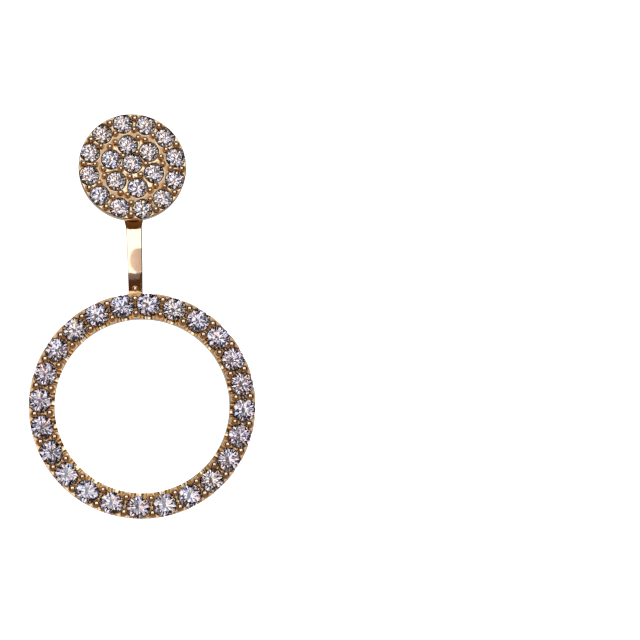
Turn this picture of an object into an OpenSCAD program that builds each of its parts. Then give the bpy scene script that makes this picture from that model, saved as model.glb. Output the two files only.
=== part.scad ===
/* [Disc] */
// Diameter of the stud's disc
disc_d = 10.1; // [10:0.05:10.1]
// Depth of the disc, from its back to the face that the stones are set in
disc_h = 1.2; // [1:0.05:1.5]
// Diameter of the disc's stones
disc_stone_d = 1.75; // [1.74:0.01:1.76]
// Distance of the inner row of stones from the middle
inner_row_r = 2.1; // [2.08:0.01:2.12]
// Distance of the outer row of stones from the middle
outer_row_r = 4.15; // [4.14:0.01:4.17]
// How far above the middle the centre stone was set
centre_rise = 0.28; // [0.26:0.01:0.3]
// Turn of the pattern on the disc, seen from the front
disc_turn = 10.4; // [0:0.2:20]
// Diameter of the beads between the disc's stones
disc_bead_d = 0.53; // [0.46:0.01:0.56]
// Diameter of the beads along the disc's rim
rim_bead_d = 0.6; // [0.5:0.01:0.62]

/* [Ring] */
// Distance from the middle of the disc down to the middle of the ring
drop_len = 22.5; // [22.3:0.1:22.8]
// Diameter of the circle that the ring's stones stand on
row_d = 18.82; // [18.78:0.02:18.86]
// Width of the band, from its inner wall to its outer wall
band_w = 2.36; // [2.34:0.02:2.44]
// Depth of the band, from its back to the face that the stones are set in
band_h = 1.5; // [1.4:0.05:1.7]
// Diameter of the ring's stones
ring_stone_d = 2.1; // [1.9:0.05:2.1]
// Diameter of the outer beads
outer_bead_d = 0.7; // [0.62:0.02:0.78]
// Diameter of the inner beads
inner_bead_d = 0.63; // [0.55:0.02:0.71]
// Turn of the stones round the ring, seen from the front
ring_turn = 2.1; // [0:0.1:3]

/* [Bar] */
// Width of the bar where it comes out under the disc
bar_top_w = 1.77; // [1.5:0.01:2]
// Width of the bar just below its flare
bar_neck_w = 1.47; // [1.3:0.01:1.5]
// Width of the bar where it meets the ring
bar_low_w = 1.3; // [1.2:0.01:1.4]
// Thickness of the bar
bar_t = 0.5; // [0.45:0.01:0.55]
// Radius of the bar's forward bow
bow_r = 12.3; // [12:0.1:13]
// How far the bar's lower end leans to the left, seen from the front
bar_lean = 0.2; // [0:0.02:0.3]

/* [Fastening] */
// Diameter of the post
post_d = 0.8; // [0.7:0.05:0.8]
// Free length of the post between the bar and the nut, which the ear lobe fills
lobe_gap = 5.2; // [5:0.1:6]
// Diameter of the eyelet at the top of the bar
eyelet_d = 3.2; // [2.8:0.1:4]
// Diameter of the nut's plate
nut_d = 5.5; // [5:0.1:6]
// Length of the nut along the post
nut_len = 2.6; // [2.4:0.1:2.7]
// Length of the post's free end behind its notch
post_end = 2; // [1.8:0.1:2.5]

/* [Hidden] */
$fn = 48;
gold = "#dba878";
pale_stone = "#cfc8dc";

// Cut of every stone, as parts of its diameter
table_part = 0.57;
star_part = 0.79;
crown_part = 0.16;
girdle_part = 0.03;
pavilion_part = 0.43;
lower_half_part = 0.24;
sides = 8;
step = 360 / sides;

// How the stones sit: under the metal's face, in a seat a little larger, and a little unevenly
sink = 0.05;
seat_gap = 0.06;
max_tilt = 1.1;
tilt_count = 5;
golden_turn = 137.5;

// The disc's rows
inner_count = 6;
outer_count = 12;
disc_stones = 1 + inner_count + outer_count;
disc_hole_d = 0.9;
disc_bead_up = 0.15;
rim_bead_r = 4.6;
row_bead_r = 3.52;
pair_bead_r = 2.79;
pair_spread = 7;
disc_edge = 0.12;

// The ring's row, which stands a little outside the band's middle
ring_stones = 24;
ring_pitch = 360 / ring_stones;
row_out = 0.13;
band_edge = 0.15;
ring_hole_d = 1.1;
notch_d = 1.5;
notch_up = 0.12;
ring_bead_up = 0.25;
outer_bead_inset = 0.53;
inner_bead_inset = 0.48;

// Places along the post, from the front to the back; the lobe's middle is the origin
bar_back_y = -lobe_gap / 2;
bar_front_y = bar_back_y - bar_t;
eyelet_gap = 0.1;
disc_back_y = bar_front_y - eyelet_gap;
ring_back_y = bar_front_y + 0.1;
nut_y = lobe_gap / 2;
notch_y = nut_y + nut_len + 0.1;
post_notch_len = 0.56;
post_notch_d = 0.6;
free_y = notch_y + post_notch_len;
tip_y = free_y + post_end;
tip_len = 0.2;
post_root = 0.1;
post_play = 0.08;
nut_play = 0.03;

// The bar's bow starts just under the disc and ends behind the band
bow_top_z = -disc_d / 2 + 0.1;
band_mid_r = row_d / 2 - row_out;
band_out_r = band_mid_r + band_w / 2;
band_in_r = band_mid_r - band_w / 2;
bow_low_z = -drop_len + band_out_r - 0.6;
bow_mid_z = (bow_top_z + bow_low_z) / 2;
bow_reach = (bow_top_z - bow_low_z) / 2;
bow_centre_y = bar_front_y + sqrt(pow(bow_r, 2) - pow(bow_reach, 2));
bar_top_lean = 0.06;
flare_len = 0.9;
flare_points = 4;
strap_w = 2.2;

stone_names = [for (i = [1 : disc_stones]) str("disc_stone_", i)];
row_names = [for (i = [1 : ring_stones]) str("ring_stone_", i)];

function at(r, a) = [r * cos(a), r * sin(a)];

// The point that is equally far from three others
function middle_of(a, b, c) =
    let (
        d = 2 * (a.x * (b.y - c.y) + b.x * (c.y - a.y) + c.x * (a.y - b.y)),
        a2 = a * a,
        b2 = b * b,
        c2 = c * c
    )
    [
        (a2 * (b.y - c.y) + b2 * (c.y - a.y) + c2 * (a.y - b.y)) / d,
        (a2 * (c.x - b.x) + b2 * (a.x - c.x) + c2 * (b.x - a.x)) / d
    ];

// Middles of the disc's stones: the centre one, then the inner row, then the outer row
centre_place = [0, centre_rise];
inner_places = [for (i = [0 : inner_count - 1]) at(inner_row_r, 90 + disc_turn + i * 360 / inner_count)];
outer_places = [for (i = [0 : outer_count - 1]) at(outer_row_r, 90 + disc_turn + i * 360 / outer_count)];
disc_places = concat([centre_place], inner_places, outer_places);

// Middles of the disc's beads
centre_beads = [
    for (i = [0 : inner_count - 1])
        middle_of(centre_place, inner_places[i], inner_places[(i + 1) % inner_count])
];
pair_beads = [
    for (i = [0 : inner_count - 1])
        for (side = [-1, 1])
            at(pair_bead_r, 90 + disc_turn + (i + 0.5) * 360 / inner_count + side * pair_spread)
];
row_beads = [for (i = [0 : outer_count - 1]) at(row_bead_r, 90 + disc_turn + (i + 0.5) * 360 / outer_count)];
rim_beads = [for (i = [0 : outer_count - 1]) at(rim_bead_r, 90 + disc_turn + (i + 0.5) * 360 / outer_count)];

// Angle of a stone round the ring; the bar falls between the last stone and the first
function ring_angle(i) = 90 + ring_turn + (i - 0.5) * ring_pitch;

// Points of a round brilliant cut, with its girdle's middle at the origin and its table up
function level(r, z, turn, count) = [
    for (i = [0 : count - 1])
        [r * cos(turn + i * 360 / count), r * sin(turn + i * 360 / count), z]
];

function brilliant_points(d) =
    let (
        r = d / 2,
        girdle = girdle_part * d / 2,
        crown = crown_part * d,
        depth = pavilion_part * d,
        star_r = star_part * r,
        star_z = girdle + crown * (r - star_r * cos(step / 2)) / (r - table_part * r),
        low_r = lower_half_part * r,
        low_z = -girdle - depth + depth * low_r * cos(step / 2) / r
    )
    concat(
        level(table_part * r, girdle + crown, 0, sides),
        level(star_r, star_z, step / 2, sides),
        level(r, girdle, 0, 2 * sides),
        level(r, -girdle, 0, 2 * sides),
        level(low_r, low_z, step / 2, sides),
        [[0, 0, -girdle - depth]]
    );

// First point of each level
star_at = sides;
upper_at = 2 * sides;
lower_at = 4 * sides;
low_at = 6 * sides;
tip_at = 7 * sides;

function star_point(i) = star_at + (i + sides) % sides;
function upper_point(i) = upper_at + (i + 2 * sides) % (2 * sides);
function lower_point(i) = lower_at + (i + 2 * sides) % (2 * sides);
function low_point(i) = low_at + (i + sides) % sides;

brilliant_faces = concat(
    [[for (i = [sides - 1 : -1 : 0]) i]],
    [for (i = [0 : sides - 1]) [i, (i + 1) % sides, star_point(i)]],
    [for (i = [0 : sides - 1]) [i, star_point(i), upper_point(2 * i), star_point(i - 1)]],
    [for (i = [0 : sides - 1]) [star_point(i), upper_point(2 * i + 1), upper_point(2 * i)]],
    [for (i = [0 : sides - 1]) [star_point(i), upper_point(2 * i + 2), upper_point(2 * i + 1)]],
    [for (i = [0 : 2 * sides - 1])
        [upper_point(i), upper_point(i + 1), lower_point(i + 1), lower_point(i)]],
    [for (i = [0 : sides - 1]) [low_point(i), lower_point(2 * i), lower_point(2 * i + 1)]],
    [for (i = [0 : sides - 1]) [low_point(i), lower_point(2 * i + 1), lower_point(2 * i + 2)]],
    [for (i = [0 : sides - 1]) [tip_at, low_point(i - 1), lower_point(2 * i), low_point(i)]]
);

// Turns a piece that is drawn flat, face up, so that it faces the front
module facing(back_y, z = 0) {
    translate([0, back_y, z])
        rotate([90, 0, 0])
            children();
}

// A cut stone with its own turn and slight tilt, so that each catches the light in its own way
module stone(d, index) {
    lean_way = index * golden_turn;
    lean = max_tilt * (index % tilt_count) / (tilt_count - 1);
    color(pale_stone, 0.8)
        rotate([0, 0, lean_way])
            rotate([lean, 0, 0])
                rotate([0, 0, index * step * 0.37])
                    polyhedron(points = brilliant_points(d), faces = brilliant_faces);
}

// The hollow that a stone drops into, open at the back through a round hole
module seat(d, hole_d) {
    r = d / 2 + seat_gap;
    girdle = girdle_part * d / 2;
    depth = pavilion_part * d;
    hole_z = -girdle - depth * (1 - (hole_d / 2) / r);
    rotate_extrude()
        polygon([
            [0, -2 * d],
            [hole_d / 2, -2 * d],
            [hole_d / 2, hole_z],
            [r, -girdle],
            [r, d],
            [0, d]
        ]);
}

// The centre stone's hollow, closed at the back where the post is soldered on
module blind_seat(d) {
    r = d / 2 + seat_gap;
    girdle = girdle_part * d / 2;
    rotate_extrude()
        polygon([
            [0, -girdle - pavilion_part * d - seat_gap / 2],
            [r, -girdle],
            [r, d],
            [0, d]
        ]);
}

module disc_plate() {
    r = disc_d / 2;
    rotate_extrude($fn = 96)
        polygon([
            [0, 0],
            [r - disc_edge, 0],
            [r, disc_edge],
            [r, disc_h - disc_edge],
            [r - disc_edge, disc_h],
            [0, disc_h]
        ]);
}

module disc_beads(places, d) {
    for (place = places)
        translate([place.x, place.y, disc_h + disc_bead_up])
            sphere(d = d);
}

module post() {
    r = post_d / 2;
    notch_r = post_notch_d / 2;
    rotate([-90, 0, 0])
        rotate_extrude()
            polygon([
                [0, disc_back_y - post_root],
                [r, disc_back_y - post_root],
                [r, notch_y],
                [notch_r, (notch_y + free_y) / 2],
                [r, free_y],
                [r, tip_y - tip_len],
                [r / 2, tip_y],
                [0, tip_y]
            ]);
}

// Disc, beads and post, cast and soldered as one piece
module stud_setting() {
    color(gold) {
        facing(disc_back_y) {
            difference() {
                disc_plate();
                translate([centre_place.x, centre_place.y, disc_h - sink])
                    blind_seat(disc_stone_d);
                for (place = concat(inner_places, outer_places))
                    translate([place.x, place.y, disc_h - sink])
                        seat(disc_stone_d, disc_hole_d);
            }
            disc_beads(concat(centre_beads, pair_beads, row_beads), disc_bead_d);
            disc_beads(rim_beads, rim_bead_d);
        }
        post();
    }
}

// Friction nut behind the ear: a plate and a barrel in one piece
module ear_nut() {
    bore_r = post_d / 2 + nut_play;
    plate_r = nut_d / 2;
    barrel_r = nut_d / 5;
    color(gold)
        rotate([-90, 0, 0])
            rotate_extrude($fn = 96)
                polygon([
                    [bore_r, nut_y],
                    [plate_r - 0.15, nut_y],
                    [plate_r, nut_y + 0.15],
                    [plate_r, nut_y + 0.35],
                    [plate_r - 0.2, nut_y + 0.5],
                    [barrel_r + 0.25, nut_y + 0.7],
                    [barrel_r, nut_y + 0.95],
                    [barrel_r, nut_y + nut_len - 0.25],
                    [barrel_r - 0.25, nut_y + nut_len],
                    [bore_r, nut_y + nut_len]
                ]);
}

module band() {
    rotate_extrude($fn = 96)
        polygon([
            [band_in_r + band_edge, 0],
            [band_out_r - band_edge, 0],
            [band_out_r, band_edge],
            [band_out_r, band_h],
            [band_in_r, band_h],
            [band_in_r, band_edge]
        ]);
}

// Cuts for one stone: its seat, and the round notch that opens both walls beside it
module ring_cut() {
    translate([row_d / 2, 0, band_h - sink])
        seat(ring_stone_d, ring_hole_d);
    translate([row_d / 2 - band_w, 0, band_h + notch_up])
        rotate([0, 90, 0])
            cylinder(d = notch_d, h = 2 * band_w);
}

// The pair of beads on the pillar between two stones
module bead_pair() {
    translate([band_out_r - outer_bead_inset, 0, band_h + ring_bead_up])
        sphere(d = outer_bead_d);
    translate([band_in_r + inner_bead_inset, 0, band_h + ring_bead_up])
        sphere(d = inner_bead_d);
}

module set_ring() {
    difference() {
        band();
        for (i = [1 : ring_stones])
            rotate([0, 0, ring_angle(i)])
                ring_cut();
    }
    for (i = [1 : ring_stones])
        rotate([0, 0, ring_angle(i + 0.5)])
            bead_pair();
}

// Middle of the bar at a height, seen from the front
function bar_mid(z) =
    -bar_top_lean - (bar_lean - bar_top_lean) * (bow_top_z - z) / (bow_top_z - bow_low_z);

// Half widths of the bar and their heights: the flare under the disc, then the lower end
bar_halves = concat(
    [
        for (i = [0 : flare_points])
            let (t = i / flare_points)
            [bar_neck_w / 2 + (bar_top_w - bar_neck_w) / 2 * pow(1 - t, 2), bow_top_z - t * flare_len]
    ],
    [[bar_low_w / 2, bow_low_z]]
);

// Outline of the bar seen from the front, from the eyelet down to the band
module bar_outline() {
    last = len(bar_halves) - 1;
    polygon(concat(
        [[-strap_w / 2, 0]],
        [for (h = bar_halves) [bar_mid(h.y) - h.x, h.y]],
        [for (i = [last : -1 : 0]) [bar_mid(bar_halves[i].y) + bar_halves[i].x, bar_halves[i].y]],
        [[strap_w / 2, 0]]
    ));
}

// Side view of the bar: flat behind the disc, then bowed forward down to the band
module bar_side() {
    translate([-strap_w, bar_front_y, bow_top_z])
        cube([2 * strap_w, bar_t, -bow_top_z]);
    intersection() {
        translate([-strap_w, bow_centre_y, bow_mid_z])
            rotate([0, 90, 0])
                difference() {
                    cylinder(r = bow_r, h = 2 * strap_w, $fn = 96);
                    translate([0, 0, -1])
                        cylinder(r = bow_r - bar_t, h = 2 * strap_w + 2, $fn = 96);
                }
        translate([-strap_w, bar_front_y - bow_reach, bow_low_z])
            cube([2 * strap_w, 2 * bow_reach, 2 * bow_reach + 0.05]);
    }
}

module bar() {
    intersection() {
        bar_side();
        translate([0, bar_front_y + 2 * bow_reach, 0])
            rotate([90, 0, 0])
                linear_extrude(height = 4 * bow_reach)
                    bar_outline();
    }
}

// Eyelet, bar and ring, soldered as one piece that hangs on the post behind the disc
module drop_frame() {
    color(gold) {
        difference() {
            union() {
                translate([0, bar_front_y, 0])
                    rotate([-90, 0, 0])
                        cylinder(d = eyelet_d, h = bar_t);
                bar();
            }
            translate([0, bar_front_y - 1, 0])
                rotate([-90, 0, 0])
                    cylinder(d = post_d + 2 * post_play, h = bar_t + 2);
        }
        facing(ring_back_y, -drop_len)
            set_ring();
    }
}

module disc_stone(i) {
    place = disc_places[i - 1];
    facing(disc_back_y)
        translate([place.x, place.y, disc_h - sink])
            stone(disc_stone_d, i);
}

module ring_stone(i) {
    facing(ring_back_y, -drop_len)
        rotate([0, 0, ring_angle(i)])
            translate([row_d / 2, 0, band_h - sink])
                stone(ring_stone_d, i);
}

stud_setting();
ear_nut();
drop_frame();
for (i = [1 : disc_stones]) disc_stone(i);
for (i = [1 : ring_stones]) ring_stone(i);
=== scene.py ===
import math
import random
import bmesh
import bpy
from mathutils import Matrix, Vector


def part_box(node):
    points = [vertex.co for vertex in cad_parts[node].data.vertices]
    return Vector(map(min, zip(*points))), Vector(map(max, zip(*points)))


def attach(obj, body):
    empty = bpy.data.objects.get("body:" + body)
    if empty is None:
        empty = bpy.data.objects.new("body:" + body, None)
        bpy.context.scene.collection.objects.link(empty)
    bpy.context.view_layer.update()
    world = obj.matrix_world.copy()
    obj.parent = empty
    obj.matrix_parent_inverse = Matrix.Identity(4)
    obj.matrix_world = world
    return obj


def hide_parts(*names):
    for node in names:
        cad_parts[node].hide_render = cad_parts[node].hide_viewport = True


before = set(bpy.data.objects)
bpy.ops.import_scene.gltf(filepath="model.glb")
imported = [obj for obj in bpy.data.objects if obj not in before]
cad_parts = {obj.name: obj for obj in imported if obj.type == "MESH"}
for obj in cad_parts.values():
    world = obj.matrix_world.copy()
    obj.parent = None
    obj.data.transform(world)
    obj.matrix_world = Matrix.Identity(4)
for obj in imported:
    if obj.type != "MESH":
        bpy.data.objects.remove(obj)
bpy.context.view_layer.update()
print("packed earring loaded:", len(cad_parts), "nodes")

# The pieces are modelled in millimetres, in the frame's own places, and shrunk to metres when they are done
perMetre = 1000.0


def millimetres(point):
    return Vector(point) * perMetre


def boxMiddle(node):
    low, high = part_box(node)
    return millimetres((low + high) / 2)


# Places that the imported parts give
discStoneCount = sum(name.startswith("disc_stone_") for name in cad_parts)
ringStoneCount = sum(name.startswith("ring_stone_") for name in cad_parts)
discPlaces = [boxMiddle(f"disc_stone_{i + 1}") for i in range(discStoneCount)]
ringPlaces = [boxMiddle(f"ring_stone_{i + 1}") for i in range(ringStoneCount)]
studLow, studHigh = [millimetres(corner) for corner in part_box("stud_setting")]
dropLow, dropHigh = [millimetres(corner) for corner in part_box("drop_frame")]
nutLow, nutHigh = [millimetres(corner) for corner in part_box("ear_nut")]
discRadius = (studHigh.x - studLow.x) / 2
ringRadius = (dropHigh.x - dropLow.x) / 2
ringMiddle = Vector((0, 0, dropLow.z + ringRadius))
postEnd = studHigh.y


# Small helpers for modelling by operators

def pickOnly(*pieces):
    bpy.ops.object.select_all(action="DESELECT")
    for piece in pieces:
        piece.select_set(True)
    bpy.context.view_layer.objects.active = pieces[0]


def startEditing(piece):
    pickOnly(piece)
    bpy.ops.object.mode_set(mode="EDIT")
    bpy.ops.mesh.select_mode(type="VERT")
    bpy.ops.mesh.select_all(action="SELECT")


def stopEditing():
    bpy.ops.object.mode_set(mode="OBJECT")


def selectParts(piece, kind, test):
    bpy.ops.mesh.select_mode(type=kind)
    bpy.ops.mesh.select_all(action="DESELECT")
    mesh = bmesh.from_edit_mesh(piece.data)
    parts = {"VERT": mesh.verts, "EDGE": mesh.edges, "FACE": mesh.faces}[kind]
    for part in parts:
        if test(part):
            part.select_set(True)
    mesh.select_flush_mode()
    bmesh.update_edit_mesh(piece.data)


def applyPlace(piece):
    pickOnly(piece)
    bpy.ops.object.transform_apply(location=True, rotation=True, scale=True)


def applyModifier(piece, kind, **settings):
    pickOnly(piece)
    modifier = piece.modifiers.new(kind.lower(), kind)
    for name, value in settings.items():
        setattr(modifier, name, value)
    bpy.ops.object.modifier_apply(modifier=modifier.name)


def softenEdges(piece, width, segments):
    applyModifier(
        piece, "BEVEL", width=width, segments=segments, limit_method="ANGLE", angle_limit=math.radians(40))


def cutAway(piece, cutter):
    applyModifier(piece, "BOOLEAN", operation="DIFFERENCE", object=cutter, solver="EXACT", use_self=True)
    bpy.data.objects.remove(cutter)


def copyOf(piece):
    pickOnly(piece)
    bpy.ops.object.duplicate()
    return bpy.context.object


def joinAll(pieces, name):
    pickOnly(*pieces)
    bpy.ops.object.join()
    joined = bpy.context.object
    joined.name = name
    return joined


def cleanUp(piece, distance=0.0005):
    startEditing(piece)
    bpy.ops.mesh.remove_doubles(threshold=distance)
    bpy.ops.mesh.normals_make_consistent(inside=False)
    stopEditing()


def drawnLine(name, points):
    # A plane merged to one vertex, which is then extruded from point to point
    bpy.ops.mesh.primitive_plane_add(size=1)
    piece = bpy.context.object
    piece.name = name
    startEditing(piece)
    bpy.ops.mesh.merge(type="CENTER")
    bpy.ops.transform.translate(value=points[0])
    for here, there in zip(points, points[1:]):
        bpy.ops.mesh.extrude_region_move(TRANSFORM_OT_translate={"value": there - here})
    stopEditing()
    return piece


def turnedSolid(name, stations, sides):
    # Each station is a radius and a place along Y; the circle is extruded and scaled from one to the next
    radius, place = stations[0]
    bpy.ops.mesh.primitive_circle_add(
        vertices=sides, radius=radius, fill_type="NGON", rotation=(math.pi / 2, 0, 0), location=(0, place, 0))
    piece = bpy.context.object
    piece.name = name
    applyPlace(piece)
    startEditing(piece)
    for nextRadius, nextPlace in stations[1:]:
        bpy.ops.mesh.extrude_region_move(TRANSFORM_OT_translate={"value": (0, nextPlace - place, 0)})
        share = nextRadius / radius
        bpy.ops.transform.resize(value=(share, share, share), center_override=(0, nextPlace, 0))
        radius, place = nextRadius, nextPlace
    bpy.ops.mesh.select_all(action="SELECT")
    bpy.ops.mesh.normals_make_consistent(inside=False)
    stopEditing()
    return piece


def finishPiece(piece, body, material, replaced, smoothAngle=32):
    piece.scale = (1 / perMetre,) * 3
    applyPlace(piece)
    bpy.ops.object.shade_smooth_by_angle(angle=math.radians(smoothAngle))
    applyModifier(piece, "WEIGHTED_NORMAL", keep_sharp=True)
    piece.data.materials.clear()
    piece.data.materials.append(material)
    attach(piece, body)
    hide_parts(replaced)
    return piece


# Camera, at the photo's viewing angle

camera = {
    "distance": 155.0,
    "side": -3.0,        # degrees to the left of straight on
    "below": 3.5,        # degrees below straight on, at the ring
    "aimX": 17.0,        # what the middle of the picture looks at
    "aimZ": -15.2,
    "faceY": -4.4,
    "roll": -3.2,
    "lens": 93.5,
    "sensor": 36.0,
}


def placeCamera(view):
    side, below = math.radians(view["side"]), math.radians(view["below"])
    away = Vector((math.sin(side) * math.cos(below), -math.cos(side) * math.cos(below), -math.sin(below)))
    place = ringMiddle + Vector((0, view["faceY"], 0)) + away * view["distance"]
    aim = Vector((view["aimX"], view["faceY"], view["aimZ"]))
    bpy.ops.object.camera_add(location=place / perMetre)
    eye = bpy.context.object
    eye.name = "frontCamera"
    look = (aim - place).to_track_quat("-Z", "Y").to_matrix().to_4x4()
    rolled = Matrix.Rotation(math.radians(view["roll"]), 4, "Z")
    eye.matrix_world = Matrix.Translation(place / perMetre) @ look @ rolled
    eye.data.lens = view["lens"]
    eye.data.sensor_width = view["sensor"]
    eye.data.clip_start = 0.005
    bpy.context.scene.camera = eye


placeCamera(camera)
print("camera placed")


# Shared shader groups

def newGroup(name, inputs, outputs):
    group = bpy.data.node_groups.new(name, "ShaderNodeTree")
    for socketName, kind, value in inputs:
        socket = group.interface.new_socket(name=socketName, in_out="INPUT", socket_type=kind)
        socket.default_value = value
    for socketName, kind in outputs:
        group.interface.new_socket(name=socketName, in_out="OUTPUT", socket_type=kind)
    return group, group.nodes.new("NodeGroupInput"), group.nodes.new("NodeGroupOutput")


def buildPolishGroup():
    # Fine polishing lines, soft unevenness of a casting, and what they do to roughness, tone and normal
    group, given, result = newGroup(
        "polishedMetal",
        [
            ("Tone", "NodeSocketColor", (0.9, 0.6, 0.35, 1)),
            ("Deep Tone", "NodeSocketColor", (0.7, 0.4, 0.2, 1)),
            ("Roughness", "NodeSocketFloat", 0.1),
            ("Roughness Spread", "NodeSocketFloat", 0.1),
            ("Wave Scale", "NodeSocketFloat", 1500.0),
            ("Wave Depth", "NodeSocketFloat", 0.2),
            ("Line Depth", "NodeSocketFloat", 0.05),
        ],
        [("Color", "NodeSocketColor"), ("Roughness", "NodeSocketFloat"), ("Normal", "NodeSocketVector")],
    )
    nodes, links = group.nodes, group.links
    place = nodes.new("ShaderNodeTexCoord")
    waves = nodes.new("ShaderNodeTexNoise")
    waves.inputs["Detail"].default_value = 3
    links.new(place.outputs["Object"], waves.inputs["Vector"])
    links.new(given.outputs["Wave Scale"], waves.inputs["Scale"])
    stretch = nodes.new("ShaderNodeMapping")
    stretch.inputs["Scale"].default_value = (30000, 30000, 2500)
    stretch.inputs["Rotation"].default_value = (0.3, 0.9, 0.4)
    links.new(place.outputs["Object"], stretch.inputs["Vector"])
    scratches = nodes.new("ShaderNodeTexNoise")
    scratches.inputs["Scale"].default_value = 1
    scratches.inputs["Detail"].default_value = 2
    links.new(stretch.outputs["Vector"], scratches.inputs["Vector"])
    drift = nodes.new("ShaderNodeTexNoise")
    drift.inputs["Scale"].default_value = 700
    drift.inputs["Detail"].default_value = 4
    links.new(place.outputs["Object"], drift.inputs["Vector"])
    tone = nodes.new("ShaderNodeMix")
    tone.data_type = "RGBA"
    links.new(drift.outputs["Fac"], tone.inputs["Factor"])
    links.new(given.outputs["Tone"], tone.inputs["A"])
    links.new(given.outputs["Deep Tone"], tone.inputs["B"])
    links.new(tone.outputs["Result"], result.inputs["Color"])
    spread = nodes.new("ShaderNodeMath")
    spread.operation = "MULTIPLY"
    links.new(scratches.outputs["Fac"], spread.inputs[0])
    links.new(given.outputs["Roughness Spread"], spread.inputs[1])
    rough = nodes.new("ShaderNodeMath")
    rough.operation = "ADD"
    links.new(spread.outputs[0], rough.inputs[0])
    links.new(given.outputs["Roughness"], rough.inputs[1])
    links.new(rough.outputs[0], result.inputs["Roughness"])
    waveBump = nodes.new("ShaderNodeBump")
    waveBump.inputs["Distance"].default_value = 0.00003
    links.new(given.outputs["Wave Depth"], waveBump.inputs["Strength"])
    links.new(waves.outputs["Fac"], waveBump.inputs["Height"])
    lineBump = nodes.new("ShaderNodeBump")
    lineBump.inputs["Distance"].default_value = 0.000005
    links.new(given.outputs["Line Depth"], lineBump.inputs["Strength"])
    links.new(scratches.outputs["Fac"], lineBump.inputs["Height"])
    links.new(waveBump.outputs["Normal"], lineBump.inputs["Normal"])
    links.new(lineBump.outputs["Normal"], result.inputs["Normal"])
    return group


def newMaterial(name):
    material = bpy.data.materials.new(name)
    material.use_nodes = True
    shader = material.node_tree.nodes["Principled BSDF"]
    return material, material.node_tree.nodes, material.node_tree.links, shader


def goldMaterial(name, group, settings):
    material, nodes, links, shader = newMaterial(name)
    shader.inputs["Metallic"].default_value = 1
    polish = nodes.new("ShaderNodeGroup")
    polish.node_tree = group
    for socketName, value in settings.items():
        polish.inputs[socketName].default_value = value
    links.new(polish.outputs["Color"], shader.inputs["Base Color"])
    links.new(polish.outputs["Roughness"], shader.inputs["Roughness"])
    links.new(polish.outputs["Normal"], shader.inputs["Normal"])
    return material


polishGroup = buildPolishGroup()
roseGold = {"Tone": (0.90, 0.68, 0.45, 1), "Deep Tone": (0.76, 0.56, 0.36, 1)}
# The plate and band take a darker copy of the beads' and bar's gold: painted shade on the flats between the
# stones. The drift between its two tones is random.
goldWithPaintedShade = goldMaterial("goldWithPaintedShade", polishGroup, {
    "Tone": (0.84, 0.64, 0.38, 1), "Deep Tone": (0.52, 0.38, 0.21, 1),
    "Roughness": 0.06, "Roughness Spread": 0.08, "Wave Scale": 2600.0, "Wave Depth": 0.5, "Line Depth": 0.1})
beadGold = goldMaterial("beadGold", polishGroup, {
    **roseGold,
    "Roughness": 0.08, "Roughness Spread": 0.08, "Wave Scale": 2600.0, "Wave Depth": 0.2, "Line Depth": 0.05})
barGold = goldMaterial("barGold", polishGroup, {
    **roseGold,
    "Roughness": 0.04, "Roughness Spread": 0.06, "Wave Scale": 900.0, "Wave Depth": 0.3, "Line Depth": 0.2})


def stoneMaterial(name, tones):
    material, nodes, links, shader = newMaterial(name)
    shader.inputs["Transmission Weight"].default_value = 1
    shader.inputs["Roughness"].default_value = 0.0
    shader.inputs["IOR"].default_value = 2.15
    place = nodes.new("ShaderNodeTexCoord")
    noise = nodes.new("ShaderNodeTexNoise")
    noise.inputs["Scale"].default_value = 420
    noise.inputs["Detail"].default_value = 1
    links.new(place.outputs["Object"], noise.inputs["Vector"])
    tints = nodes.new("ShaderNodeValToRGB")
    tints.color_ramp.elements[0].position = 0.36
    tints.color_ramp.elements[0].color = (*tones[0], 1)
    tints.color_ramp.elements[1].position = 0.64
    tints.color_ramp.elements[1].color = (*tones[3], 1)
    tints.color_ramp.elements.new(0.46).color = (*tones[1], 1)
    tints.color_ramp.elements.new(0.54).color = (*tones[2], 1)
    links.new(noise.outputs["Fac"], tints.inputs["Fac"])
    links.new(tints.outputs["Color"], shader.inputs["Base Color"])
    return material


discStone = stoneMaterial(
    "discStone", [(0.92, 0.93, 0.97), (0.98, 0.95, 0.91), (1.0, 0.90, 0.84), (1.0, 0.96, 0.78)])
ringStone = stoneMaterial(
    "ringStone", [(0.72, 0.75, 0.84), (0.80, 0.78, 0.83), (0.84, 0.74, 0.79), (0.83, 0.81, 0.72)])
for name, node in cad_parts.items():
    if "stone" in name:
        node.data.materials.clear()
        node.data.materials.append(discStone if name.startswith("disc") else ringStone)
print("materials made")


# Disc of the stud, with its seats

disc = {
    "thickness": 1.2,
    "back": -3.2,
    "rimBevel": 0.1,
    "rimSides": 144,
    "stone": 1.75,
    "seatGap": 0.06,
    "sink": 0.05,
    "hole": 0.45,
    "chamferDepth": 0.05,
    "chamferWidth": 0.085,
    "seatSides": 40,
    "moatStart": 0.85,   # share of the bead's radius where its hollow starts
    "moatWidth": 0.08,
    "moatDepth": 0.1,
    "edge": 0.012,
}


# Heights of a cut stone as shares of its width, and how far before the face a cutter reaches its full width
stoneCut = {"girdle": 0.015, "pavilion": 0.43}
cutterRise = 0.1


def seatStations(face, size, closed=False):
    # From the back hole up the cone to the girdle's ledge, then out through a narrow bright-cut edge
    girdle = stoneCut["girdle"] * size["stone"]
    depth = stoneCut["pavilion"] * size["stone"]
    radius = size["stone"] / 2 + size["seatGap"]
    hole = size["hole"]
    ledge = face + size["sink"] + girdle
    if closed:
        stations = [(0.04, ledge + depth + size["seatGap"] / 2)]
    else:
        stations = [(hole, face + 4), (hole, ledge + depth * (1 - hole / radius))]
    slope = size["chamferWidth"] / size["chamferDepth"]
    mouth = radius + slope * (size["chamferDepth"] + cutterRise)
    return stations + [
        (radius, ledge), (radius, face + size["chamferDepth"]), (mouth, face - cutterRise), (mouth, face - 1),
    ]


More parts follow.
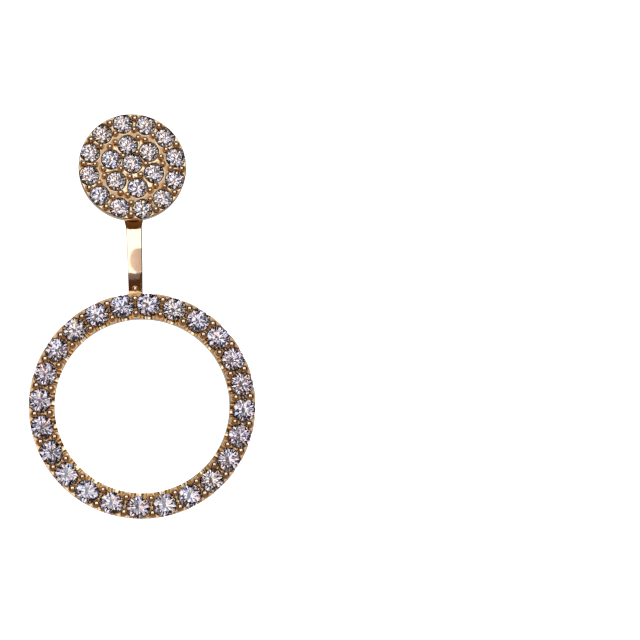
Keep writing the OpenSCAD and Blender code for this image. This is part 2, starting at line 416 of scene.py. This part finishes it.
discBeads = {
    "rimRadius": 4.6, "rowRadius": 3.52, "pairRadius": 2.79, "pairSpread": 7,
    "rimBead": 0.3, "smallBead": 0.265, "up": 0.15, "stem": 0.5,
}


def around(radius, degrees, middle=Vector((0, 0, 0))):
    turn = math.radians(degrees)
    return middle.x + radius * math.cos(turn), middle.z + radius * math.sin(turn)


def directionOf(place, middle=Vector((0, 0, 0))):
    return math.degrees(math.atan2(place.z - middle.z, place.x - middle.x))


def equallyFar(a, b, c):
    # The point as far from one stone as from the two beside it
    ab, ac = b - a, c - a
    cross = 2 * (ab.x * ac.z - ab.z * ac.x)
    abLength, acLength = ab.x ** 2 + ab.z ** 2, ac.x ** 2 + ac.z ** 2
    x = a.x + (ac.z * abLength - ab.z * acLength) / cross
    z = a.z + (ab.x * acLength - ac.x * abLength) / cross
    return x, z


def discBeadGroups(size):
    front = disc["back"] - disc["thickness"] - size["up"]
    centre, inner, outer = discPlaces[0], discPlaces[1:7], discPlaces[7:]
    firstInner, firstOuter = directionOf(inner[0]), directionOf(outer[0])
    rim = [around(size["rimRadius"], firstOuter + (i + 0.5) * 30) for i in range(12)]
    row = [around(size["rowRadius"], firstOuter + (i + 0.5) * 30) for i in range(12)]
    pairs = [around(size["pairRadius"], firstInner + (i + 0.5) * 60 + side * size["pairSpread"])
             for i in range(6) for side in (-1, 1)]
    middles = [equallyFar(centre, inner[i], inner[(i + 1) % 6]) for i in range(6)]
    return [
        (size["rimBead"], size["stem"], front, rim),
        (size["smallBead"], size["stem"], front, row + pairs + middles),
    ]


def hollowCutter(inner, outer, depth, face):
    # The graver's hollow: a shallow cone cut into the face
    mouth = outer + (outer - inner) / depth * cutterRise
    return turnedSolid("hollow", [(inner, face + depth), (mouth, face - cutterRise), (mouth, face - 1)], 24)


def moatCutter(bead, face, size):
    return hollowCutter(size["moatStart"] * bead, bead + size["moatWidth"], size["moatDepth"], face)


def discPlate(size):
    face = size["back"] - size["thickness"]
    bpy.ops.mesh.primitive_cylinder_add(
        vertices=size["rimSides"], radius=discRadius, depth=size["thickness"], rotation=(math.pi / 2, 0, 0),
        location=(0, size["back"] - size["thickness"] / 2, 0))
    plate = bpy.context.object
    plate.name = "discPlate"
    applyPlace(plate)
    startEditing(plate)
    middle = size["back"] - size["thickness"] / 2
    selectParts(plate, "EDGE", lambda e: (e.verts[0].co.y - middle) * (e.verts[1].co.y - middle) > 0)
    bpy.ops.mesh.bevel(offset=size["rimBevel"], segments=3, affect="EDGES")
    stopEditing()
    openSeat = turnedSolid("openSeat", seatStations(face, size), size["seatSides"])
    blindSeat = turnedSolid("blindSeat", seatStations(face, size, closed=True), size["seatSides"])
    cutters = []
    for i, place in enumerate(discPlaces):
        cutter = copyOf(blindSeat if i == 0 else openSeat)
        cutter.location = (place.x, 0, place.z)
        applyPlace(cutter)
        cutters.append(cutter)
    bpy.data.objects.remove(openSeat)
    bpy.data.objects.remove(blindSeat)
    for radius, _, _, places in discBeadGroups(discBeads):
        moat = moatCutter(radius, face, size)
        for x, z in places:
            cutter = copyOf(moat)
            cutter.location = (x, 0, z)
            applyPlace(cutter)
            cutters.append(cutter)
        bpy.data.objects.remove(moat)
    cutAway(plate, joinAll(cutters, "seatCutters"))
    softenEdges(plate, size["edge"], 2)
    return finishPiece(plate, "stud", goldWithPaintedShade, "stud_setting")


discPlate(disc)
print("disc plate made")


# Beads: one is modelled, and copied to every place

def beadForm(radius, stem, sides=20, rings=12):
    bpy.ops.mesh.primitive_uv_sphere_add(
        segments=sides, ring_count=rings, radius=radius, rotation=(math.pi / 2, 0, 0))
    bead = bpy.context.object
    applyPlace(bead)
    startEditing(bead)
    selectParts(bead, "FACE", lambda f: f.calc_center_median().y > 0)
    bpy.ops.mesh.delete(type="FACE")
    selectParts(bead, "EDGE", lambda e: e.is_boundary)
    bpy.ops.mesh.extrude_region_move(TRANSFORM_OT_translate={"value": (0, stem, 0)})
    bpy.ops.mesh.edge_face_add()
    bpy.ops.mesh.select_all(action="SELECT")
    bpy.ops.mesh.normals_make_consistent(inside=False)
    stopEditing()
    return bead


def setBeads(name, groups, body, replaced, seed):
    chance = random.Random(seed)
    copies = []
    for radius, stem, front, places in groups:
        first = beadForm(radius, stem)
        for x, z in places:
            bead = copyOf(first)
            wide = chance.uniform(0.94, 1.0)
            bead.scale = (wide, chance.uniform(0.93, 1.0), wide * chance.uniform(0.95, 1.0))
            bead.location = (x + chance.uniform(-0.02, 0.02), front, z + chance.uniform(-0.02, 0.02))
            applyPlace(bead)
            copies.append(bead)
        bpy.data.objects.remove(first)
    return finishPiece(joinAll(copies, name), body, beadGold, replaced, smoothAngle=60)


setBeads("discBeads", discBeadGroups(discBeads), "stud", "stud_setting", seed=11)
print("disc beads set")


# Post behind the disc, with its notch and blunt tip

post = {
    "radius": 0.4, "root": -3.3, "fillet": 0.25, "notchStart": 5.3, "notchLength": 0.56, "notchRadius": 0.3,
    "tip": 0.2,
}


def earPost(size):
    r = size["radius"]
    back = disc["back"]
    fillet = size["fillet"]
    arc = [math.radians(a) for a in (0, 22.5, 45, 67.5, 90)]
    root = [(r + fillet * (1 - math.sin(a)), back + fillet * (1 - math.cos(a))) for a in arc]
    notchEnd = size["notchStart"] + size["notchLength"]
    tipTurns = [math.radians(a) for a in (0, 30, 60, 85)]
    tip = [(r * 0.5 + r * 0.5 * math.cos(a), postEnd - size["tip"] * (1 - math.sin(a))) for a in tipTurns]
    stations = [(r + fillet, size["root"])] + root + [
        (r, size["notchStart"]),
        (size["notchRadius"], size["notchStart"] + size["notchLength"] / 2),
        (r, notchEnd),
    ] + tip
    piece = turnedSolid("earPost", stations, 40)
    return finishPiece(piece, "stud", barGold, "stud_setting")


earPost(post)


# Friction nut: a plate with a rounded rim and a barrel, pushed on the post

nut = {
    "bore": 0.43, "plateRim": 0.16, "barrel": 1.1, "neck": 0.3, "barrelRound": 0.25,
    "dishReach": 0.9, "dishDepth": 0.25,
}


def earNut(size):
    plateRadius = (nutHigh.x - nutLow.x) / 2
    front, back = nutLow.y, nutHigh.y
    bore, barrel, rim = size["bore"], size["barrel"], size["plateRim"]
    rounded = [math.radians(a) for a in range(0, 181, 20)]
    points = [(bore, front)]
    points += [(plateRadius - rim + rim * math.sin(a), front + rim * (1 - math.cos(a))) for a in rounded]
    dip = [math.radians(a) for a in range(0, 91, 15)]
    reach, deep, rise = size["dishReach"], size["dishDepth"], size["neck"]
    plateBack = front + 2 * rim
    points += [(barrel + rise + reach * (1 - math.sin(a)), plateBack + deep * (1 - math.cos(a))) for a in dip]
    points += [(barrel + rise * (1 - math.sin(a)), plateBack + deep + rise * (1 - math.cos(a)))
               for a in dip[1:]]
    soft = size["barrelRound"]
    points += [(barrel - soft * (1 - math.cos(a)), back - soft * (1 - math.sin(a))) for a in dip]
    points.append((bore, back))
    piece = drawnLine("earNut", [Vector((x, y, 0)) for x, y in points + points[:1]])
    startEditing(piece)
    bpy.ops.mesh.remove_doubles(threshold=0.0005)
    bpy.ops.mesh.spin(steps=64, angle=2 * math.pi, center=(0, 0, 0), axis=(0, 1, 0))
    stopEditing()
    cleanUp(piece)
    return finishPiece(piece, "stud", barGold, "ear_nut")


earNut(nut)
print("post and nut made")


# Ring: one stretch from pillar to pillar is cut, and copied round

ring = {
    "back": -3.0,
    "depth": 1.5,
    "inner": 8.1,
    "backBevel": 0.15,
    "frontBevel": 0.03,
    "stone": 2.1,
    "seatGap": 0.06,
    "sink": 0.05,
    "hole": 0.55,
    "chamferDepth": 0.045,
    "chamferWidth": 0.06,
    "seatSides": 48,
    "moatStart": 0.85,
    "moatWidth": 0.06,
    "moatDepth": 0.11,
    "dimpleFloor": 0.03,
    "dimple": 0.27,
    "dimpleDepth": 0.13,
    "notch": 0.75,
    "notchUp": 0.12,
    "steps": 12,
    "edge": 0.02,
}


ringBeads = {
    "outerInset": 0.5, "innerInset": 0.49, "outerBead": 0.35, "innerBead": 0.315, "up": 0.25, "stem": 0.7,
}


def ringBand(size):
    back, face = size["back"], size["back"] - size["depth"]
    inner, outer = size["inner"], ringRadius
    row = (ringPlaces[0] - ringMiddle).xz.length
    pitch = 2 * math.pi / ringStoneCount
    soft, crisp = size["backBevel"], size["frontBevel"]
    outline = [
        (inner, back - soft), (inner + soft * 0.3, back - soft * 0.3), (inner + soft, back),
        (outer - soft, back), (outer - soft * 0.3, back - soft * 0.3), (outer, back - soft),
        (outer, face + crisp), (outer - crisp, face), (inner + crisp, face), (inner, face + crisp),
    ]
    stretch = drawnLine("ringBand", [Vector((0, y, radius)) for radius, y in outline])
    startEditing(stretch)
    bpy.ops.mesh.edge_face_add()
    bpy.ops.mesh.spin(steps=size["steps"], angle=pitch, center=(0, 0, 0), axis=(0, 1, 0))
    stopEditing()
    middleTurn = sum(math.atan2(v.co.x, v.co.z) for v in stretch.data.vertices) / len(stretch.data.vertices)
    stretch.rotation_euler = (0, -middleTurn, 0)
    applyPlace(stretch)
    cleanUp(stretch)

    seat = turnedSolid("ringSeat", seatStations(face, size), size["seatSides"])
    seat.location = (0, 0, row)
    applyPlace(seat)
    cutAway(stretch, seat)
    bpy.ops.mesh.primitive_cylinder_add(
        vertices=48, radius=size["notch"], depth=4, location=(0, face - size["notchUp"], row))
    cutAway(stretch, bpy.context.object)
    # Hollows round the two beads of each pillar, and a dimple between them
    outerPlace, innerPlace = outer - ringBeads["outerInset"], inner + ringBeads["innerInset"]
    cutters = []
    for side in (-1, 1):
        hollows = [
            (moatCutter(ringBeads["outerBead"], face, size), outerPlace),
            (moatCutter(ringBeads["innerBead"], face, size), innerPlace),
            (hollowCutter(size["dimpleFloor"], size["dimple"], size["dimpleDepth"], face),
             (outerPlace + innerPlace) / 2),
        ]
        for hollow, radius in hollows:
            hollow.location = (0, 0, radius)
            applyPlace(hollow)
            hollow.rotation_euler = (0, side * pitch / 2, 0)
            applyPlace(hollow)
            cutters.append(hollow)
    cutAway(stretch, joinAll(cutters, "hollowCutters"))

    # The two ends are opened before the edges are softened, so that the copies meet there
    startEditing(stretch)
    selectParts(stretch, "FACE", lambda f: all(
        abs(abs(math.atan2(v.co.x, v.co.z)) - pitch / 2) < 0.0005 for v in f.verts))
    bpy.ops.mesh.delete(type="FACE")
    stopEditing()
    softenEdges(stretch, size["edge"], 2)
    copies = []
    for place in ringPlaces:
        copied = copyOf(stretch)
        away = place - ringMiddle
        copied.rotation_euler = (0, math.atan2(away.x, away.z), 0)
        copied.location = ringMiddle
        applyPlace(copied)
        copies.append(copied)
    bpy.data.objects.remove(stretch)
    band = joinAll(copies, "ringBand")
    cleanUp(band)
    return finishPiece(band, "drop", goldWithPaintedShade, "drop_frame", smoothAngle=20)


ringBand(ring)
print("ring band made")


def ringBeadGroups(size):
    front = ring["back"] - ring["depth"] - size["up"]
    first = directionOf(ringPlaces[0], ringMiddle)
    pitch = 360 / ringStoneCount
    turns = [first + (i + 0.5) * pitch for i in range(ringStoneCount)]
    outer = [around(ringRadius - size["outerInset"], turn, ringMiddle) for turn in turns]
    inner = [around(ring["inner"] + size["innerInset"], turn, ringMiddle) for turn in turns]
    return [
        (size["outerBead"], size["stem"], front, outer),
        (size["innerBead"], size["stem"], front, inner),
    ]


setBeads("ringBeads", ringBeadGroups(ringBeads), "drop", "drop_frame", seed=23)
print("ring beads set")


# Bar: flat behind the disc, then bowed forward down to the ring, with the eyelet at its top

bar = {
    "front": -3.1,
    "thickness": 0.5,
    "bowRadius": 12.3,
    "bowTop": -4.95,
    "bandOverlap": 0.6,
    "steps": 30,
    "topWidth": 1.77,
    "neckWidth": 1.47,
    "lowWidth": 1.3,
    "flare": 0.9,
    "join": 0.35,        # from the bow's top up to where the straight part starts
    "topSteps": 4,
    "topLean": -0.06,
    "lowLean": -0.2,
    "strapWidth": 2.2,
    "eyelet": 1.6,
    "eyeletHole": 0.48,
    "crown": 0.035,      # how far the front's edges fall back behind its middle
    "frontSteps": 10,
    "chamfers": (0.035, 0.1),     # of the front's left and right edges
    "backChamfer": 0.05,
    "edge": 0.05,
    # The bead on the bar's foot stands where the bar's front mirrors the ring's top bead: a painted
    # reflection, built as a real bead
    "reflectionBead": 0.27,
    "footStem": 0.3,
    "footUp": 0.56,      # from the ring's top
    "footAside": 0.03,
    "footOut": 0.04,
}


def barWidth(size, height, bowLow):
    down = size["bowTop"] - height
    if down <= 0:
        share = min(1, -down / -size["bowTop"])
        return size["topWidth"] + (size["strapWidth"] - size["topWidth"]) * share
    if down < size["flare"]:
        share = 1 - down / size["flare"]
        return size["neckWidth"] + (size["topWidth"] - size["neckWidth"]) * share ** 2
    share = (down - size["flare"]) / (size["bowTop"] - size["flare"] - bowLow)
    return size["neckWidth"] + (size["lowWidth"] - size["neckWidth"]) * min(1, share)


def barLean(size, height, bowLow):
    if height > size["bowTop"]:
        return size["topLean"] * height / size["bowTop"]
    share = (size["bowTop"] - height) / (size["bowTop"] - bowLow)
    return size["topLean"] + (size["lowLean"] - size["topLean"]) * min(1, share)


def bowedBar(size):
    bowLow = ringMiddle.z + ringRadius - size["bandOverlap"]
    middle = (size["bowTop"] + bowLow) / 2
    reach = (size["bowTop"] - bowLow) / 2
    radius, thick = size["bowRadius"], size["thickness"]
    centreY = size["front"] + math.sqrt(radius ** 2 - reach ** 2)
    half = math.asin(reach / radius)
    front = centreY - radius
    # The outline is one unit wide here, and takes its width and lean when the bar is bowed
    wide = size["neckWidth"]
    left, right = size["chamfers"]
    behind = size["backChamfer"]
    across = [left / wide - 0.5 + (1 - (left + right) / wide) * i / size["frontSteps"]
              for i in range(size["frontSteps"] + 1)]
    outline = [(x, front + size["crown"] * (2 * x) ** 2) for x in across]
    outline += [
        (0.5, outline[-1][1] + right), (0.5, front + thick - behind), (0.5 - behind / wide, front + thick),
        (behind / wide - 0.5, front + thick), (-0.5, front + thick - behind), (-0.5, outline[0][1] + left),
    ]
    piece = drawnLine("bowedBar", [Vector((x, y, middle)) for x, y in outline + outline[:1]])
    startEditing(piece)
    bpy.ops.mesh.remove_doubles(threshold=0.0005)
    bpy.ops.mesh.edge_face_add()
    bpy.ops.mesh.spin(
        steps=size["steps"], angle=2 * half, center=(0, centreY, middle), axis=(1, 0, 0))
    stopEditing()
    # The spin starts at the middle height, so the arc is turned back by half its angle
    vertices = piece.data.vertices
    turned = sum(math.atan2(v.co.z - middle, centreY - v.co.y) for v in vertices) / len(vertices)
    for vertex in vertices:
        offset = Vector((0, vertex.co.y - centreY, vertex.co.z - middle))
        offset.rotate(Matrix.Rotation(turned, 3, "X"))
        vertex.co.y, vertex.co.z = centreY + offset.y, middle + offset.z
    cleanUp(piece)
    startEditing(piece)
    selectParts(piece, "FACE", lambda f: (
        f.calc_center_median().z > size["bowTop"] - 0.25 and abs(f.normal.z) > 0.8))
    straightFrom = size["bowTop"] + size["join"]
    bpy.ops.mesh.extrude_region_move(TRANSFORM_OT_translate={"value": (0, 0, 0.4)})
    bpy.ops.transform.resize(value=(1, 1, 0), center_override=(0, 0, straightFrom))
    for _ in range(size["topSteps"]):
        bpy.ops.mesh.extrude_region_move(
            TRANSFORM_OT_translate={"value": (0, 0, -straightFrom / size["topSteps"])})
    stopEditing()
    for vertex in piece.data.vertices:
        height = vertex.co.z
        if height > size["bowTop"] + 0.2:
            vertex.co.y = size["front"] if vertex.co.y < size["front"] + thick / 2 else size["front"] + thick
        vertex.co.x = barLean(size, height, bowLow) + vertex.co.x * barWidth(size, height, bowLow)

    bpy.ops.mesh.primitive_cylinder_add(
        vertices=64, radius=size["eyelet"], depth=thick, rotation=(math.pi / 2, 0, 0),
        location=(0, size["front"] + thick / 2, 0))
    eyelet = bpy.context.object
    applyPlace(eyelet)
    softenEdges(eyelet, size["edge"], 1)
    applyModifier(piece, "BOOLEAN", operation="UNION", object=eyelet, solver="EXACT")
    bpy.data.objects.remove(eyelet)
    bpy.ops.mesh.primitive_cylinder_add(
        vertices=48, radius=size["eyeletHole"], depth=4, rotation=(math.pi / 2, 0, 0),
        location=(0, size["front"], 0))
    cutAway(piece, bpy.context.object)
    # A bead on the bar's foot, where the bar mirrors the ring's top bead: a painted reflection built as a
    # real bead
    foot = ringMiddle.z + ringRadius + size["footUp"]
    down = foot - middle
    barFace = centreY - math.sqrt(radius ** 2 - down ** 2)
    bead = beadForm(size["reflectionBead"], size["footStem"])
    bead.location = (size["lowLean"] - size["footAside"], barFace - size["footOut"], foot)
    applyPlace(bead)
    finishPiece(bead, "drop", beadGold, "drop_frame", smoothAngle=60).name = "reflectionBead"
    return finishPiece(piece, "drop", barGold, "drop_frame")


bowedBar(bar)
print("bar made")


# Stage: a pale floor that curves up all round into a pale wall

stage = {
    "radius": 0.9, "floor": -0.16, "curve": 0.35, "height": 1.1, "sides": 96,
    "tone": (0.4, 0.4, 0.41, 1), "glow": 1,
}


def paleCove(size):
    bend = [math.radians(a) for a in range(0, 91, 9)]
    radius, floor, curve = size["radius"], size["floor"], size["curve"]
    bpy.ops.mesh.primitive_circle_add(
        vertices=size["sides"], radius=radius - curve, fill_type="NGON", location=(0, 0, floor))
    cove = bpy.context.object
    cove.name = "paleCove"
    applyPlace(cove)
    startEditing(cove)
    wide, high = radius - curve, floor
    selectParts(cove, "EDGE", lambda e: e.is_boundary)
    for turn in bend[1:] + [None]:
        nextWide = radius if turn is None else radius - curve + curve * math.sin(turn)
        nextHigh = size["height"] if turn is None else floor + curve * (1 - math.cos(turn))
        bpy.ops.mesh.extrude_region_move(TRANSFORM_OT_translate={"value": (0, 0, nextHigh - high)})
        share = nextWide / wide
        bpy.ops.transform.resize(value=(share, share, 1), center_override=(0, 0, nextHigh))
        wide, high = nextWide, nextHigh
    stopEditing()
    bpy.ops.object.shade_smooth_by_angle(angle=math.radians(60))
    material, _, _, shader = newMaterial("palePaper")
    shader.inputs["Base Color"].default_value = size["tone"]
    shader.inputs["Roughness"].default_value = 0.9
    shader.inputs["Specular IOR Level"].default_value = 0.1
    shader.inputs["Emission Color"].default_value = (1, 1, 1, 1)
    shader.inputs["Emission Strength"].default_value = size["glow"]
    cove.data.materials.append(material)
    cove.visible_glossy = False
    cove.visible_transmission = False


paleCove(stage)


# Lights: soft boxes before the earring, a weak one behind it, and a dim room round them

def beforeEarring(azimuth, elevation, distance):
    a, e = math.radians(azimuth), math.radians(elevation)
    away = Vector((math.sin(a) * math.cos(e), -math.cos(a) * math.cos(e), math.sin(e)))
    return Vector((0, -0.004, -0.014)) + distance * away, (-away).to_track_quat("-Z", "Y").to_euler()


def softBox(name, azimuth, elevation, distance, size, glow, tint=(1, 1, 1)):
    # Glow is the brightness that the polished metal sees in the box
    place, turn = beforeEarring(azimuth, elevation, distance)
    bpy.ops.object.light_add(type="AREA", location=place, rotation=turn)
    light = bpy.context.object
    light.name = name
    light.data.shape = "RECTANGLE"
    light.data.size, light.data.size_y = size
    light.data.energy = glow * math.pi * size[0] * size[1]
    light.data.color = tint
    light.visible_camera = False
    light.visible_transmission = False


softBox("keyBox", 0, 25, 0.6, (0.95, 0.63), 1.95, tint=(0.95, 0.98, 1.12))
softBox("lowBoxLeft", -28, -14, 0.6, (0.28, 0.22), 1.1)
softBox("lowBoxRight", 28, -14, 0.6, (0.28, 0.22), 1.1)
softBox("lowStrip", 0, -6, 0.62, (0.22, 0.06), 0.18, tint=(0.9, 0.82, 1.0))
softBox("backBox", 180, 35, 0.7, (0.5, 0.3), 1.2)

# The round dark front of the camera, which the flat metal mirrors before the key light
lensCard = {
    "azimuth": 8.5, "elevation": 9, "distance": 0.5, "width": 0.25, "height": 0.2,
    "glow": (1.1, 0.5),      # at its left and at its right
}


def dimCard(size):
    place, turn = beforeEarring(size["azimuth"], size["elevation"], size["distance"])
    bpy.ops.mesh.primitive_circle_add(
        vertices=64, radius=0.5, fill_type="NGON", location=place, rotation=turn)
    card = bpy.context.object
    card.name = "dimCard"
    card.scale = (size["width"], size["height"], 1)
    applyPlace(card)
    material, nodes, links, shader = newMaterial("dimCard")
    shader.inputs["Base Color"].default_value = (0, 0, 0, 1)
    shader.inputs["Specular IOR Level"].default_value = 0
    shader.inputs["Emission Color"].default_value = (1, 0.87, 0.92, 1)
    coordinates = nodes.new("ShaderNodeTexCoord")
    axes = nodes.new("ShaderNodeSeparateXYZ")
    links.new(coordinates.outputs["Object"], axes.inputs["Vector"])
    fade = nodes.new("ShaderNodeMapRange")
    fade.inputs["From Min"].default_value = place.x - size["width"] / 2
    fade.inputs["From Max"].default_value = place.x + size["width"] / 2
    fade.inputs["To Min"].default_value, fade.inputs["To Max"].default_value = size["glow"]
    links.new(axes.outputs["X"], fade.inputs["Value"])
    links.new(fade.outputs["Result"], shader.inputs["Emission Strength"])
    card.data.materials.append(material)
    card.visible_camera = False
    card.visible_transmission = False


dimCard(lensCard)


def dimRoom():
    world = bpy.data.worlds.new("dimRoom")
    bpy.context.scene.world = world
    world.cycles.sampling_method = "NONE"
    world.use_nodes = True
    nodes, links = world.node_tree.nodes, world.node_tree.links
    room = nodes["Background"]
    rays = nodes.new("ShaderNodeLightPath")
    mirrored = nodes.new("ShaderNodeMix")
    mirrored.data_type = "RGBA"
    mirrored.inputs["A"].default_value = (0.9, 0.9, 0.92, 1)
    links.new(rays.outputs["Is Glossy Ray"], mirrored.inputs["Factor"])
    place = nodes.new("ShaderNodeTexCoord")
    axes = nodes.new("ShaderNodeSeparateXYZ")
    links.new(place.outputs["Generated"], axes.inputs["Vector"])
    walls = nodes.new("ShaderNodeValToRGB")
    walls.color_ramp.elements[0].position = 0.12
    walls.color_ramp.elements[0].color = (0.24, 0.14, 0.07, 1)
    walls.color_ramp.elements[1].position = 0.50
    walls.color_ramp.elements[1].color = (0.05, 0.043, 0.032, 1)
    walls.color_ramp.elements.new(0.32).color = (0.105, 0.036, 0.007, 1)
    height = nodes.new("ShaderNodeMapRange")
    height.inputs["From Min"].default_value = -1
    links.new(axes.outputs["Z"], height.inputs["Value"])
    links.new(height.outputs["Result"], walls.inputs["Fac"])
    behind = nodes.new("ShaderNodeMapRange")
    behind.inputs["From Min"].default_value = 0.5
    behind.inputs["From Max"].default_value = 0.8
    links.new(axes.outputs["Y"], behind.inputs["Value"])
    paper = nodes.new("ShaderNodeMix")
    paper.data_type = "RGBA"
    paper.inputs["B"].default_value = (0.5, 0.49, 0.48, 1)
    links.new(behind.outputs["Result"], paper.inputs["Factor"])
    links.new(walls.outputs["Color"], paper.inputs["A"])
    links.new(paper.outputs["Result"], mirrored.inputs["B"])
    through = nodes.new("ShaderNodeMix")
    through.data_type = "RGBA"
    links.new(rays.outputs["Is Transmission Ray"], through.inputs["Factor"])
    links.new(mirrored.outputs["Result"], through.inputs["A"])
    patches = nodes.new("ShaderNodeTexNoise")
    # The stones refract bright and dark patches, tinted warm and cold
    patches.inputs["Scale"].default_value = 2.8
    patches.inputs["Detail"].default_value = 2.5
    turned = nodes.new("ShaderNodeMapping")
    turned.inputs["Location"].default_value = (4.69, 2.47, 5.44)
    links.new(place.outputs["Generated"], turned.inputs["Vector"])
    links.new(turned.outputs["Vector"], patches.inputs["Vector"])
    tones = nodes.new("ShaderNodeValToRGB")
    ramp = tones.color_ramp
    steps = [
        (0.512, (0.01, 0.009, 0.01, 1)),
        (0.536, (0.08, 0.074, 0.08, 1)),
        (0.55, (0.31, 0.29, 0.3, 1)),
        (0.564, (0.86, 0.82, 0.84, 1)),
        (0.589, (1.7, 1.65, 1.67, 1)),
        (0.65, (2.9, 2.83, 2.86, 1)),
    ]
    ramp.elements[0].position, ramp.elements[0].color = steps[0]
    ramp.elements[1].position, ramp.elements[1].color = steps[-1]
    for position, tone in steps[1:-1]:
        ramp.elements.new(position).color = tone
    links.new(patches.outputs["Fac"], tones.inputs["Fac"])
    hues = nodes.new("ShaderNodeTexNoise")
    hues.inputs["Scale"].default_value = 7
    hues.inputs["Detail"].default_value = 0
    moved = nodes.new("ShaderNodeMapping")
    moved.inputs["Location"].default_value = (3.1, 1.7, 5.3)
    links.new(place.outputs["Generated"], moved.inputs["Vector"])
    links.new(moved.outputs["Vector"], hues.inputs["Vector"])
    fire = nodes.new("ShaderNodeValToRGB")
    fire.color_ramp.elements[0].position = 0.4
    fire.color_ramp.elements[0].color = (0.78, 0.90, 1.16, 1)
    fire.color_ramp.elements[1].position = 0.6
    fire.color_ramp.elements[1].color = (1.24, 0.95, 0.78, 1)
    links.new(hues.outputs["Fac"], fire.inputs["Fac"])
    tinted = nodes.new("ShaderNodeMix")
    tinted.data_type = "RGBA"
    tinted.blend_type = "MULTIPLY"
    tinted.inputs["Factor"].default_value = 1
    links.new(tones.outputs["Color"], tinted.inputs["A"])
    links.new(fire.outputs["Color"], tinted.inputs["B"])
    # The patches are dimmer at the sides and behind than before the stones
    nearness = nodes.new("ShaderNodeMapRange")
    nearness.inputs["From Min"].default_value = 0
    nearness.inputs["From Max"].default_value = -1
    links.new(axes.outputs["Y"], nearness.inputs["Value"])
    front = nodes.new("ShaderNodeFloatCurve")
    for along, share in ((0.1, 0.2), (0.55, 0.5), (0.63, 0.5), (0.7, 0.22), (0.82, 0.22), (0.88, 0.62)):
        front.mapping.curves[0].points.new(along, share)
    front.mapping.curves[0].points[0].location = (0, 0.2)
    front.mapping.curves[0].points[-1].location = (1, 0.8)
    front.mapping.update()
    links.new(nearness.outputs["Result"], front.inputs["Value"])
    facing = nodes.new("ShaderNodeVectorMath")
    facing.operation = "SCALE"
    links.new(tinted.outputs["Result"], facing.inputs["Vector"])
    links.new(front.outputs["Value"], facing.inputs["Scale"])
    links.new(facing.outputs["Vector"], through.inputs["B"])
    links.new(through.outputs["Result"], room.inputs["Color"])
    room.inputs["Strength"].default_value = 1


dimRoom()
bpy.context.scene.view_settings.view_transform = "Standard"
print("stage and lights made")
